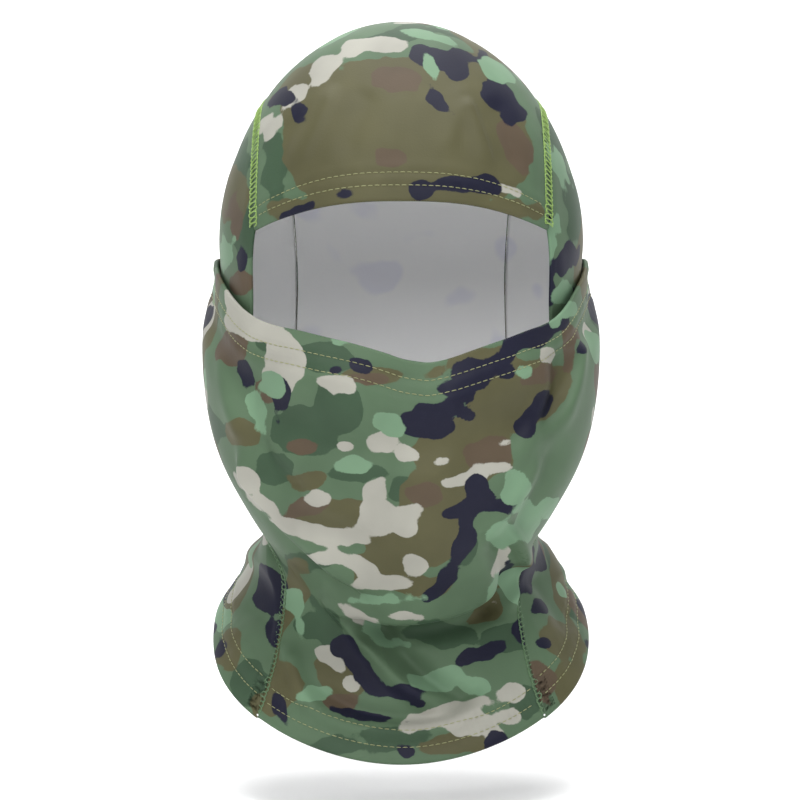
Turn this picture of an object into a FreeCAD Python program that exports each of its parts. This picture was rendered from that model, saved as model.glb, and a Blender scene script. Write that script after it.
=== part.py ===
# A stretch-knit balaclava in its worn shape: a three-panel hood with a face opening, a front panel that
# runs from ear to ear over the mouth and chin down to the bib, and a turned, twin-stitched hem at each
# free edge. Millimetres, +Z up. The face looks along -Y and the wearer's left is +X.
# The origin is the inside of the crown's highest point, where the top of the head sits.
#
# The cloth lies on two lofted forms. "hood" carries the crown, the cheeks and the neck; "front" carries
# the mask, which stands off the cheeks and closes under the chin. Each form is a stack of level rings.
# A point on a form is (turn, drop): turn is the angle round the head in degrees from the front, and drop
# is the length of cloth below the form's top, in millimetres.
import FreeCAD
import Part
import math
import os

os.makedirs("parts", exist_ok=True)

# ---- cloth and sewing -------------------------------------------------------------------------------
cloth = 1.0                  # thickness of one ply of brushed stretch knit
seam_gap = 0.4               # each panel stops this far short of its seam line
ply_gap = 0.3                # clearance between plies and under threads
row_end_gap = 1.0            # rows of stitches stop this far short of a seam's threads
thread = 0.45                # height of a thread line above the cloth
flatlock_width = 5.0         # width of the flatlock seams' covering threads
stitch_width = 0.8           # width of one row of hem stitches

# ---- the hood's dome --------------------------------------------------------------------------------
head_half_width = 86.4       # at the widest level, over the ears
head_front = 100.0           # reach of the forehead from the head's axis
head_back = 100.0            # reach of the back of the head
dome_height = 109.0          # crown down to the widest level
dome_power = 1.98            # fullness of the dome seen from the side
level_power = 2.4            # fullness of each level ring seen from above
dome_length = 150.0          # cloth from the crown's top down to the widest level

# ---- the hood below its widest level ----------------------------------------------------------------
# each ring: half width, front reach, back reach, depth below the crown at front, side and back
cheek_ring = (head_half_width - 2.4, 99.0, 98.0, 140.0, 140.0, 140.0)
jowl_ring = (head_half_width - 6.9, 97.0, 93.0, 166.0, 165.0, 163.0)
jaw_ring = (head_half_width - 12.4, 90.0, 84.0, 203.0, 188.0, 182.0)
nape_ring = (70.0, 72.0, 73.0, 255.0, 211.0, 200.0)

# ---- the collar and bib, shared by both forms -------------------------------------------------------
throat_ring = (66.0, 58.0, 65.0, 282.0, 235.0, 218.0)
neck_ring = (65.5, 56.0, 63.0, 297.0, 251.0, 231.0)
bib_ring = (77.0, 69.0, 70.0, 322.0, 272.0, 246.0)
hem_ring = (90.5, 85.0, 80.0, 346.0, 292.0, 260.0)

# ---- the front panel above the collar ---------------------------------------------------------------
lip_ring = (head_half_width + 7.6, 109.5, 104.0, 189.0, 130.0, 138.0)
mouth_ring = (head_half_width + 8.1, 108.5, 104.0, 215.0, 159.0, 162.0)
chin_ring = (head_half_width + 3.6, 99.0, 100.0, 243.0, 186.0, 180.0)
chin_fold_ring = (77.5, 80.0, 88.0, 266.0, 211.0, 203.0)
front_lap = 1.8              # how far the panel's middle lies outside the side panel's where it laps on it
front_puff = 3.9             # how much further it stands off at the top of the side seam, by the ear
front_puff_length = 100.0    # cloth below the ear over which that closes
front_blend = 18.0           # degrees from the side seam over which the panel comes in to the hood

# ---- crown panel ------------------------------------------------------------------------------------
brow_depth = 83.0            # crown down to the face opening's top edge, at the middle
brow_corner_depth = 97.0     # the same where the edge meets the crown seams
crown_width_brow = 137.0     # crown panel's width at the brow, over the top, at the nape and at the hem
crown_width_top = 130.0
crown_width_nape = 104.0
crown_width_hem = 84.0

# ---- hems -------------------------------------------------------------------------------------------
brow_hem_depth = 14.0        # turned-in ply above the face opening
bottom_hem_depth = 16.0
mask_hem_depth = 16.0
mask_hem_reach = 0.6         # share of the way round to the bar tacks that the flap's hem is double
opening_hem_depth = 6.0
row_insets = (0.46, 0.9)     # where the two rows of stitches run, as shares of a hem's depth

# ---- mask flap --------------------------------------------------------------------------------------
pivot_back = 20.0            # the bar tack at the ear, behind the head's axis
pivot_depth = 118.0          # the bar tack below the crown
tack_radius = 4.0            # the round bar tack that the flap turns on
tack_clearance = 0.08
mask_standoff = 2.8          # the flap's cloth outside the hood's at the bar tacks, middle to middle
mask_reach = 131.0           # bar tack to the flap's top edge at the middle of the face
mask_swell = 14.0            # how much further out the flap's lower edge runs
mask_power = 2.6             # fullness of the flap seen from below
mask_edge_shares = (0.0, 0.35, 0.6, 0.85, 1.0)        # along the top edge, as shares of the half width:
mask_edge_drops = (20.8, 16.2, 14.0, 11.5, 2.0)       # degrees that the edge hangs below the bar tacks
mask_dip = 0.07              # how far the dip at the nose is rounded, as a share of the half width
mask_show = 10.5             # degrees of the flap above the front panel's lip
mask_spread = 24.0           # degrees from the flap's top edge to its tucked-in lower edge
mask_end_spread = 100.0      # the same at the bar tack
mask_half_width = head_half_width + mask_standoff


def smooth(t):
    t = min(1.0, max(0.0, t))
    return t * t * (3 - 2 * t)


def hermite(knots, values, t):
    """Value at t of the smooth curve through the values at the knots, straight beyond its ends."""
    n = len(knots)
    i = 0
    while i < n - 2 and t > knots[i + 1]:
        i += 1
    span = knots[i + 1] - knots[i]

    def slope(k):
        if k == 0:
            return (values[1] - values[0]) / (knots[1] - knots[0])
        if k == n - 1:
            return (values[-1] - values[-2]) / (knots[-1] - knots[-2])
        before = (values[k] - values[k - 1]) / (knots[k] - knots[k - 1])
        after = (values[k + 1] - values[k]) / (knots[k + 1] - knots[k])
        return (before + after) / 2

    if t < knots[0]:
        return values[0] + (t - knots[0]) * slope(0)
    if t > knots[-1]:
        return values[-1] + (t - knots[-1]) * slope(n - 1)
    s = (t - knots[i]) / span
    a = (1 + 2 * s) * (1 - s) ** 2
    b = s * (1 - s) ** 2
    c = s * s * (3 - 2 * s)
    d = s * s * (s - 1)
    return a * values[i] + b * span * slope(i) + c * values[i + 1] + d * span * slope(i + 1)


def level_radius(turn, half_width, front, back):
    """Distance from the head's axis to a level ring, in the direction of turn."""
    across = abs(math.sin(turn)) / half_width
    along = math.cos(turn)
    reach = front if along > 0 else back
    return (across ** level_power + (abs(along) / reach) ** level_power) ** (-1 / level_power)


def level_height(turn, front, side, back):
    """Height of a ring that tilts from front to back, in the direction of turn."""
    along = math.cos(turn)
    return -(side + (front - back) / 2 * along + ((front + back) / 2 - side) * along ** 2)


class Form:
    """A lofted form for the cloth: rings joined by smooth curves, with a dome above the first if asked."""

    def __init__(self, rings, has_dome):
        self.rings = rings
        self.has_dome = has_dome
        self.drops = [dome_length if has_dome else 0.0]
        for upper, lower in zip(rings, rings[1:]):
            self.drops.append(self.drops[-1] + lower[4] - upper[4])
        self.bottom = self.drops[-1]

    def level(self, turn, drop):
        """(radius, height) at a turn in radians."""
        if self.has_dome and drop < dome_length:
            lean = math.pi / 2 * drop / dome_length
            swell = max(0.0, math.sin(lean)) ** (2 / dome_power)
            rise = max(0.0, math.cos(lean)) ** (2 / dome_power)
            radius = level_radius(turn, head_half_width, head_front, head_back) * swell
            return radius, dome_height * (rise - 1)
        radii = [level_radius(turn, *ring[:3]) for ring in self.rings]
        heights = [level_height(turn, *ring[3:]) for ring in self.rings]
        return hermite(self.drops, radii, drop), hermite(self.drops, heights, drop)

    def point(self, turn, drop):
        turn = math.radians(turn)
        radius, height = self.level(turn, drop)
        return FreeCAD.Vector(radius * math.sin(turn), -radius * math.cos(turn), height)

    def radius_at(self, turn, height):
        """Radius of the form at a height, below its dome."""
        low, high = self.drops[0], self.bottom
        for _ in range(24):
            middle = (low + high) / 2
            if self.level(turn, middle)[1] > height:
                low = middle
            else:
                high = middle
        return self.level(turn, (low + high) / 2)[0]


equator_ring = (head_half_width, head_front, head_back, dome_height, dome_height, dome_height)
collar_rings = [throat_ring, neck_ring, bib_ring, hem_ring]
hood = Form([equator_ring, cheek_ring, jowl_ring, jaw_ring, nape_ring] + collar_rings, True)
front = Form([lip_ring, mouth_ring, chin_ring, chin_fold_ring] + collar_rings, False)
collar_drop = front.drops[4]         # front panel's drop where it meets the collar

# The side seam's turn at each ring of the front form: behind the ear, round the jaw, down the bib.
side_seam_turns = (107.0, 104.0, 97.0, 84.0, 60.0, 58.0, 51.0, 47.0)
# The face opening's side edge, as turns at depths below the crown. It ends at the seam under the jaw.
opening_depths = (brow_corner_depth, 112.0, 138.0, 160.0, 180.0, 197.0)
opening_turns = (45.7, 47.0, 48.5, 54.0, 66.0, 84.0)
side_depths = [ring[4] for ring in (lip_ring, mouth_ring, chin_ring, chin_fold_ring) + tuple(collar_rings)]


def side_seam(drop):
    """Turn of the side seam on the front form."""
    return hermite(front.drops, side_seam_turns, drop)


def lay(drop):
    """How far the front panel lies outside the hood along the side seam: proud by the ear, then level."""
    proud = front_puff * (1 - smooth(drop / front_puff_length))
    return proud + front_lap * (1 - smooth((drop - front.drops[2]) / (collar_drop - front.drops[2])))


def front_point(turn, drop):
    """The front panel's cloth: it stands off the hood and comes in to it along the side seam."""
    angle = math.radians(turn)
    radius, height = front.level(angle, drop)
    at_seam = hood.radius_at(angle, height) + lay(drop)
    free = smooth((side_seam(drop) - abs(turn)) / front_blend) * (1 - smooth((drop - front.drops[3]) / 28.0))
    free += smooth((drop - front.drops[3]) / 28.0)
    radius = at_seam + (radius - at_seam) * free
    return FreeCAD.Vector(radius * math.sin(angle), -radius * math.cos(angle), height)


# ---- the crown panel's own grid: x across, and run along the head from the brow (0) over the back of
# ---- the head's widest level (1) to the hem (2) -------------------------------------------------------
def brow_height(x):
    arch = brow_corner_depth - brow_depth
    return -(brow_depth + arch * (2 * abs(x) / crown_width_brow) ** 2.6)


def crown_half_width(run):
    widths = (crown_width_brow, crown_width_top, crown_width_nape, crown_width_nape, crown_width_hem)
    return hermite((0.0, 0.5, 1.0, 1.4, 2.0), widths, run) / 2


def dome_share(x, y, z):
    """Under 1 inside the dome, 1 on it."""
    reach = head_front if y < 0 else head_back
    level = (abs(x) / head_half_width) ** level_power + (abs(y) / reach) ** level_power
    return level ** (dome_power / level_power) + (abs(z + dome_height) / dome_height) ** dome_power


def brow_lean(x):
    """Angle above the horizontal, seen from the side, at which the brow's edge lies."""
    rise = brow_height(x) + dome_height
    swell = (1 - (rise / dome_height) ** dome_power) ** (1 / dome_power)
    across = abs(x) / (head_half_width * swell)
    reach = head_front * swell * (1 - across ** level_power) ** (1 / level_power)
    return math.atan2(rise, reach)


def crown_point(x, run):
    if run <= 1:
        start = brow_lean(x)
        lean = start + (math.pi - start) * run
        low, high = 0.0, 2 * (head_front + head_back)
        for _ in range(40):
            ray = (low + high) / 2
            if dome_share(x, -ray * math.cos(lean), ray * math.sin(lean) - dome_height) < 1:
                low = ray
            else:
                high = ray
        return FreeCAD.Vector(x, -ray * math.cos(lean), ray * math.sin(lean) - dome_height)
    drop = dome_length + (run - 1) * (hood.bottom - dome_length)
    return hood.point(math.copysign(crown_turn(abs(x), drop), x), drop)


def crown_turn(x, drop):
    """Turn, at the back of the head, at which the hood's cloth is x away from the middle."""
    low, high = 90.0, 180.0
    for _ in range(40):
        middle = (low + high) / 2
        if hood.point(middle, drop).x > x:
            low = middle
        else:
            high = middle
    return (low + high) / 2


def crown_seam(run):
    """(turn, drop) of the left crown seam on the hood."""
    width = crown_half_width(run)
    if run > 1:
        drop = dome_length + (run - 1) * (hood.bottom - dome_length)
        return crown_turn(width, drop), drop
    at = crown_point(width, run)
    rise = min(1.0, (at.z + dome_height) / dome_height)
    lean = math.acos(max(0.0, rise) ** (dome_power / 2))
    return math.degrees(math.atan2(at.x, -at.y)), dome_length * lean / (math.pi / 2)


def drop_at_side(depth):
    """The hood's drop at a depth below the crown, at the side of the head."""
    if depth <= dome_height:
        lean = math.acos(((dome_height - depth) / dome_height) ** (dome_power / 2))
        return dome_length * lean / (math.pi / 2)
    depths = [ring[4] for ring in hood.rings]
    return hermite(depths, hood.drops, depth)


def opening_edge(depth):
    """(turn, drop) of the side panel's front edge: the face opening, then the side seam."""
    if depth <= opening_depths[-1]:
        return hermite(opening_depths, opening_turns, depth), drop_at_side(depth)
    seam = hermite(side_depths, side_seam_turns, depth)
    meet = smooth((depth - opening_depths[-1]) / 10.0)
    held = opening_turns[-1] + (seam - opening_turns[-1]) * meet
    return held, drop_at_side(depth)


# ---- turning points into closed solids ----------------------------------------------------------------
def spread(low, high, count):
    return [low + (high - low) * i / (count - 1) for i in range(count)]


def within(knots, parts):
    """The knots, with each stretch between two of them cut into equal parts."""
    steps = [a + (b - a) * i / parts for a, b in zip(knots, knots[1:]) for i in range(parts)]
    return steps + [knots[-1]]


def ply(place, across, along, inner, outer):
    """A closed sheet on the surface place(u, v), from inner to outer millimetres outside it."""
    du = (across[-1] - across[0]) * 1e-3
    dv = (along[-1] - along[0]) * 1e-3

    def outward(u, v):
        normal = (place(u + du, v) - place(u - du, v)).cross(place(u, v + dv) - place(u, v - dv))
        return normal.normalize()

    middle = (across[len(across) // 2], along[len(along) // 2])
    centre = place(*middle)
    core = FreeCAD.Vector(0, 0, min(centre.z, -dome_height))
    sign = math.copysign(1.0, outward(*middle).dot(centre - core))
    grids = [
        [[place(u, v) + outward(u, v) * sign * off for v in along] for u in across]
        for off in (inner, outer)
    ]
    surfaces = []
    for grid in grids:
        surface = Part.BSplineSurface()
        surface.interpolate(grid)
        surfaces.append(surface)
    low, high = surfaces
    faces = [low.toShape(), high.toShape()]
    u0, u1, v0, v1 = low.bounds()
    w0, w1, x0, x1 = high.bounds()
    for near, far in (
        (low.uIso(u0), high.uIso(w0)),
        (low.uIso(u1), high.uIso(w1)),
        (low.vIso(v0), high.vIso(x0)),
        (low.vIso(v1), high.vIso(x1)),
    ):
        faces.append(Part.makeRuledSurface(near.toShape(), far.toShape()))
    shell = Part.makeShell(faces)
    shell.sewShape()
    solid = Part.makeSolid(shell)
    if solid.Volume < 0:
        solid.reverse()
    return solid


def mirrored(shape):
    return shape.mirror(FreeCAD.Vector(0, 0, 0), FreeCAD.Vector(1, 0, 0))


def save(name, *solids):
    shape = solids[0] if len(solids) == 1 else Part.makeCompound(list(solids))
    shape.exportStep("parts/" + name + ".step")
    good = all(s.isValid() and s.isClosed() for s in solids)
    print(name, len(solids), "solids", round(sum(s.Volume for s in solids)), "mm3", "ok" if good else "BAD")


half = cloth / 2
panel_ply = (-half, half)
hem_ply = (-half - ply_gap - cloth, -half - ply_gap)       # the turned-in ply behind a free edge
thread_ply = (half + ply_gap, half + ply_gap + thread)     # threads on the outside
step_ply = tuple(offset + ply_gap for offset in thread_ply)        # threads over the step between two panels


# ---- crown panel, its brow hem and its two seams ------------------------------------------------------
def crown_place(share, run):
    """Crown panel: share runs from -1 at one seam to 1 at the other."""
    width = crown_half_width(run) - seam_gap
    return crown_point(share * width, run)


def brow_place(share, length):
    """The brow's edge: length runs up the cloth from the face opening."""
    return crown_place(share, length / (math.pi * head_front))


def crown_seam_place(offset, run):
    return crown_point(crown_half_width(run) + offset * 0.7, run)


def make_crown():
    over = spread(0, 1, 21)[:-1]
    down = [1 + (drop - dome_length) / (hood.bottom - dome_length) for drop in within(hood.drops, 3)]
    save("crown_panel", ply(crown_place, spread(-1, 1, 17), over + down, *panel_ply))
    along = spread(-1, 1, 25)
    hem = ply(brow_place, along, spread(0, brow_hem_depth, 4), *hem_ply)
    save("brow_hem", hem)
    rows = []
    reach = 1 - (flatlock_width / 2 + row_end_gap) / crown_half_width(0)
    for share in row_insets:
        centre = share * brow_hem_depth
        edges = spread(centre - stitch_width / 2, centre + stitch_width / 2, 3)
        rows.append(ply(brow_place, spread(-reach, reach, 25), edges, *thread_ply))
    save("brow_hem_stitches", *rows)
    edges = spread(-flatlock_width / 2, flatlock_width / 2, 3)
    seam = ply(crown_seam_place, edges, [0.004] + over[1:] + down[:-1] + [1.997], *thread_ply)
    save("left_crown_seam", seam)
    save("right_crown_seam", mirrored(seam))


# ---- side panels with the face opening's hems ---------------------------------------------------------
top_front_run, top_back_run = 0.42, 0.56     # the stretch of crown seam that the side panel's top edge takes
corner_share = 0.3                           # share of the side panel's height that lies above the brow corner


def below_corner(share):
    """Share of the way from the brow corner down to the hem, at a share of the side panel's height."""
    return (share - corner_share) / (1 - corner_share)


def side_front(share):
    """(turn, drop) down the side panel's front edge: crown seam, face opening, side seam."""
    if share < corner_share:
        return crown_seam(top_front_run * (1 - share / corner_share))
    return opening_edge(brow_corner_depth + (hem_ring[4] - brow_corner_depth) * below_corner(share))


def side_back(share):
    """(turn, drop) down the side panel's back edge, which is the crown seam."""
    return crown_seam(top_back_run + (2 - top_back_run) * share)


def side_place(across, share):
    """Side panel: across runs from the front edge, 0, to the crown seam at the back, 1."""
    near, far = side_front(share), side_back(share)
    top_near, top_far = side_front(0), side_back(0)
    top = crown_seam(top_front_run + (top_back_run - top_front_run) * across)
    fade = (1 - share) ** 6
    turn, drop = (
        a + (b - a) * across + fade * (t - c - (d - c) * across)
        for a, b, t, c, d in zip(near, far, top, top_near, top_far)
    )
    return hood.point(turn, drop)


def trimmed_side_place(across, share):
    """The side panel, stopped short of its seam lines."""
    inset = seam_gap / 90.0
    return side_place(inset + across * (1 - 2 * inset), 0.004 + share * 0.996)


def opening_place(width, depth):
    """The face opening's side edge: width runs back along the cloth from the edge."""
    turn, drop = opening_edge(depth)
    return hood.point(turn + math.degrees(width / head_half_width), drop)


def make_sides():
    rows = spread(0, corner_share - 0.02, 9) + spread(corner_share, 1, 27)
    panel = ply(trimmed_side_place, spread(0, 1, 15), rows, *panel_ply)
    save("left_side_panel", panel)
    save("right_side_panel", mirrored(panel))
    along = spread(brow_corner_depth + 3, opening_depths[-1] - 6, 14)
    hem = ply(opening_place, spread(0, opening_hem_depth, 3), along, *hem_ply)
    save("left_opening_hem", hem)
    save("right_opening_hem", mirrored(hem))


# ---- front panel, side seams and the bottom hem -------------------------------------------------------
def front_place(share, drop):
    """Front panel: share runs from -1 at one side seam to 1 at the other."""
    reach = side_seam(drop) - math.degrees(seam_gap / head_half_width)
    return front_point(share * reach, drop)


def side_seam_place(offset, drop):
    return front_point(side_seam(drop) + math.degrees(offset / head_half_width), drop)


def make_front():
    panel = ply(front_place, spread(-1, 1, 31), within(front.drops, 3), *panel_ply)
    save("front_panel", panel)
    edges = spread(-flatlock_width / 2, flatlock_width / 2, 3)
    seam = ply(side_seam_place, edges, [1.0] + within(front.drops, 3)[1:-1] + [front.bottom - 0.5], *step_ply)
    save("left_side_seam", seam)
    save("right_side_seam", mirrored(seam))


def make_bottom_hem():
    seam_inset = math.degrees((flatlock_width / 2 + row_end_gap) / hem_ring[2])
    front_turn = side_seam(front.bottom) - seam_inset
    side_start = side_seam(front.bottom - bottom_hem_depth) + seam_inset
    side_end = crown_seam(2 - bottom_hem_depth / (hood.bottom - dome_length))[0] - seam_inset
    back_turn = crown_seam(2.0)[0] + seam_inset
    spans = {
        "front_bottom_hem": (front_point, front.bottom, -front_turn, front_turn),
        "left_bottom_hem": (hood.point, hood.bottom, side_start, side_end),
        "back_bottom_hem": (hood.point, hood.bottom, back_turn, 360 - back_turn),
    }
    rows = []
    for name, (place, bottom, low_turn, high_turn) in spans.items():
        across = spread(low_turn, high_turn, 17)
        hem = ply(place, across, spread(bottom - bottom_hem_depth, bottom, 4), *hem_ply)
        save(name, hem)
        if name.startswith("left"):
            save(name.replace("left", "right"), mirrored(hem))
        for share in row_insets:
            middle = bottom - share * bottom_hem_depth
            edges = spread(middle - stitch_width / 2, middle + stitch_width / 2, 3)
            row = ply(place, across, edges, *thread_ply)
            rows.append(row)
            if name.startswith("left"):
                rows.append(mirrored(row))
    save("bottom_hem_stitches", *rows)


# ---- mask flap: turns about the two bar tacks ---------------------------------------------------------
def mask_top_lean(across, radius):
    """Degrees below the horizontal of the flap's top edge, at a distance from the bar tacks' axis."""
    hang = hermite(mask_edge_shares, mask_edge_drops, math.hypot(across / mask_half_width, mask_dip))
    return hang - mask_end_spread / 2 * math.exp((tack_radius - radius) / 12.0)


def mask_span(radius):
    """Degrees from the flap's top edge to its lower edge."""
    return mask_spread + (mask_end_spread - mask_spread) * math.exp((tack_radius - radius) / 18.0)


def mask_point(swing, below):
    """swing goes round from ear to ear in degrees, and below is degrees under the flap's top edge."""
    angle = math.radians(swing)
    reach = mask_reach + mask_swell * smooth(below / (2 * mask_show) + 0.5) * 2 - mask_swell
    reach = min(reach, mask_reach + mask_swell)
    across = abs(math.sin(angle)) / mask_half_width
    ahead = abs(math.cos(angle)) / reach
    ray = (across ** mask_power + ahead ** mask_power) ** (-1 / mask_power)
    radius = ray * math.cos(angle)
    lean = math.radians(mask_top_lean(ray * abs(math.sin(angle)), radius) + below)
    return FreeCAD.Vector(
        ray * math.sin(angle),
        pivot_back - radius * math.cos(lean),
        -pivot_depth - radius * math.sin(lean),
    )


def mask_radius(swing):
    """Distance of the flap's top edge from the bar tacks' axis."""
    edge = mask_point(swing, 0.0)
    return math.hypot(edge.y - pivot_back, edge.z + pivot_depth)


mask_end = math.degrees(math.acos((tack_radius + tack_clearance) / mask_half_width))


def mask_place(swing, share):
    return mask_point(swing, share * mask_span(mask_radius(swing)))


def mask_edge_place(swing, length):
    """Near the top edge: length runs down the cloth in millimetres."""
    radius = mask_radius(swing)
    return mask_point(swing, math.degrees(length / max(radius, mask_hem_depth)))


def make_mask():
    swings = [mask_end * math.copysign(abs(t) ** 0.8, t) for t in spread(-1, 1, 37)]
    save("mask_panel", ply(mask_place, swings, spread(0, 1, 17), *panel_ply))
    inner = [s * mask_hem_reach for s in swings]
    hem = ply(mask_edge_place, inner, spread(0, mask_hem_depth, 7), *hem_ply)
    save("mask_top_hem", hem)
    rows = []
    for share in row_insets:
        middle = share * mask_hem_depth
        edges = spread(middle - stitch_width / 2, middle + stitch_width / 2, 3)
        rows.append(ply(mask_edge_place, inner, edges, *thread_ply))
    save("mask_hem_stitches", *rows)
    base = hood.radius_at(math.pi / 2, -pivot_depth) + half
    tack = Part.makeCylinder(
        tack_radius,
        mask_half_width + cloth + thread - base,
        FreeCAD.Vector(base, pivot_back, -pivot_depth),
        FreeCAD.Vector(1, 0, 0),
    )
    save("left_bar_tack", tack)
    save("right_bar_tack", mirrored(tack))


make_crown()
make_sides()
make_front()
make_bottom_hem()
make_mask()
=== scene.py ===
# A pull-on face mask of printed stretch knit: a three-panel hood with a face opening, and a front panel
# that covers nose, mouth and chin and runs on down to the bib. The frame is in metres. The lengths below
# are in millimetres, and each mesh is turned to metres when it is made.
import math
import bpy
import numpy as np
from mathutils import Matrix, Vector
from mathutils.bvhtree import BVHTree


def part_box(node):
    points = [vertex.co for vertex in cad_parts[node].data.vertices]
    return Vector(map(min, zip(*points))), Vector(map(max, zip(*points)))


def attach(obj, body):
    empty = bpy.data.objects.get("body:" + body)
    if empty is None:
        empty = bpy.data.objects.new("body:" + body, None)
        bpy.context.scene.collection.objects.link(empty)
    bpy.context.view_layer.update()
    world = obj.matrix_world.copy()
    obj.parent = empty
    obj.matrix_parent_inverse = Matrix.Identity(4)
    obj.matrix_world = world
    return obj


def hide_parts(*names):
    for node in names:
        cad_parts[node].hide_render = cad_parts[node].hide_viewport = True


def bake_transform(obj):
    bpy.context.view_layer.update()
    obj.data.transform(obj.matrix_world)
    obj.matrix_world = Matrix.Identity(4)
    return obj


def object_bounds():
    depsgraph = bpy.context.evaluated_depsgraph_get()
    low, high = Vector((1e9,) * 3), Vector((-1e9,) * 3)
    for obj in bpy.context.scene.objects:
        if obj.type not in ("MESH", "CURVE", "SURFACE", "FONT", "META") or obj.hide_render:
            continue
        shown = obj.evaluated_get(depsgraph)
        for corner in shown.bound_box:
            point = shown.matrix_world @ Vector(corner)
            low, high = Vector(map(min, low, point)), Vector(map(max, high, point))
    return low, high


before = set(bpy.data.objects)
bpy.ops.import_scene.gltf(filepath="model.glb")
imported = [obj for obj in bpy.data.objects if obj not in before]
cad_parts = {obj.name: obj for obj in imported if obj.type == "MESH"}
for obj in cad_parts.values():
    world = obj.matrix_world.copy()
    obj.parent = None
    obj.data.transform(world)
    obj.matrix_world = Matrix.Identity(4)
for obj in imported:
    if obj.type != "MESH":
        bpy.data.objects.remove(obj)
cad_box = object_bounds()

# ---- room: a pale sweep of paper, a camera at face height and five large soft lamps --------------------
# The sweep is matt white paper that runs from the floor up behind the hood. The lamps are soft boxes:
# one high in front, one at each side, one above for the crown, and one that lights the paper.


def srgb(code):
    """A hex colour as linear RGBA."""
    parts = [int(code[i:i + 2], 16) / 255 for i in (0, 2, 4)]
    return tuple(p / 12.92 if p <= 0.04045 else ((p + 0.055) / 1.055) ** 2.4 for p in parts) + (1.0,)


def material(name):
    """A new node material: its tree and its Principled shader."""
    made = bpy.data.materials.new(name)
    made.use_nodes = True
    tree = made.node_tree
    return made, tree, tree.nodes["Principled BSDF"]


def look_at(thing, spot):
    thing.rotation_euler = (Vector(spot) - Vector(thing.location)).to_track_quat("-Z", "Y").to_euler()


low, high = (Vector(corner) for corner in cad_box)
viewing_distance = 2.2
viewing_height = math.radians(3.0)
view_centre = Vector((-0.0005, 0.0, -0.1805))
camera_data = bpy.data.cameras.new("camera")
camera_data.lens = 206.0
camera_data.sensor_width = 36.0
camera = bpy.data.objects.new("camera", camera_data)
bpy.context.collection.objects.link(camera)
camera.location = view_centre + viewing_distance * Vector(
    (0, -math.cos(viewing_height), math.sin(viewing_height))
)
look_at(camera, view_centre)
bpy.context.scene.camera = camera
bpy.context.scene.view_settings.view_transform = "Standard"

sweep_radius = 0.8
sweep_back = 1.3
floor_height = low.z - 0.02
profile = [(-3.0, floor_height), (sweep_back - sweep_radius, floor_height)]
for step in range(1, 25):
    bend = math.pi / 2 * step / 24
    profile.append((
        sweep_back - sweep_radius + sweep_radius * math.sin(bend),
        floor_height + sweep_radius * (1 - math.cos(bend)),
    ))
profile.append((sweep_back, 3.0))
sweep_mesh = bpy.data.meshes.new("paper_sweep")
sweep_mesh.from_pydata(
    [(x, y, z) for y, z in profile for x in (-3.5, 3.5)],
    [],
    [(2 * i, 2 * i + 1, 2 * i + 3, 2 * i + 2) for i in range(len(profile) - 1)],
)
sweep_mesh.shade_smooth()
sweep = bpy.data.objects.new("paper_sweep", sweep_mesh)
bpy.context.collection.objects.link(sweep)
paper, _, paper_shader = material("matt_white_paper")
paper_shader.inputs["Base Color"].default_value = srgb("F7F7F7")
paper_shader.inputs["Roughness"].default_value = 0.9
sweep_mesh.materials.append(paper)

for name, place, size, power in (
    ("front_soft_box", (-0.25, -1.8, 0.7), 0.9, 17.0),
    ("left_soft_box", (1.7, -0.6, 0.2), 1.2, 5.0),
    ("right_soft_box", (-1.7, -0.6, 0.2), 1.2, 5.0),
    ("top_soft_box", (0.0, -0.7, 1.3), 0.8, 16.0),
    ("backdrop_lamp", (0.0, 0.5, 1.6), 1.6, 34.0),
):
    lamp_data = bpy.data.lights.new(name, "AREA")
    lamp_data.shape = "SQUARE"
    lamp_data.size = size
    lamp_data.energy = power
    lamp = bpy.data.objects.new(name, lamp_data)
    lamp.location = place
    look_at(lamp, (0.0, 1.2, -0.1) if name == "backdrop_lamp" else (0.0, 0.0, -0.18))
    bpy.context.collection.objects.link(lamp)

world = bpy.data.worlds.new("pale_room")
bpy.context.scene.world = world
world.use_nodes = True
world.node_tree.nodes["Background"].inputs["Color"].default_value = srgb("F4F6F8")
world.node_tree.nodes["Background"].inputs["Strength"].default_value = 0.3

# ---- crown panel ---------------------------------------------------------------------------------------
# One strip of polyester and elastane knit, from the brow over the head to the hem at the nape. It is cut
# with the camouflage print on its outside. Its front edge is turned in and held by two rows of stitches,
# and so is its lower edge.

cloth_thickness = 0.9
fold_radius = 0.65           # half the distance between a hem's two plies
pitch = 1.25                 # spacing of the cloth meshes' rows and columns
brow_hem_depth = 14.0
bottom_hem_depth = 16.0
row_shares = (0.46, 0.9)     # where a hem's two rows of stitches run, as shares of its depth
head_centre = -109.0         # height of the head's widest level
seam_closing = 0.35          # how far each panel runs on to meet its neighbour under a seam


def spline(knots, values, at):
    """Smooth curve through the values at the knots, straight beyond them. values may be rows of anything."""
    knots, values, at = (np.asarray(a, float) for a in (knots, values, at))
    slope = np.gradient(values, knots, axis=0)
    i = np.clip(np.searchsorted(knots, at, side="right") - 1, 0, len(knots) - 2)
    span = knots[i + 1] - knots[i]
    t = (at - knots[i]) / span
    inside = np.clip(t, 0, 1)
    over = (t - inside) * span
    shape = t.shape + (1,) * (values.ndim - 1)
    s, h, over = inside.reshape(shape), span.reshape(shape), over.reshape(shape)
    run = slope[i] * h
    end_run = slope[i + 1] * h
    rise = values[i + 1] - values[i]
    end_slope = np.where(over < 0, slope[i], slope[i + 1])
    return (
        values[i] + s * run + s * s * (3 * rise - 2 * run - end_run)
        + s ** 3 * (run + end_run - 2 * rise) + over * end_slope
    )


def smooth(t):
    t = np.clip(t, 0, 1)
    return t * t * (3 - 2 * t)


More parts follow.
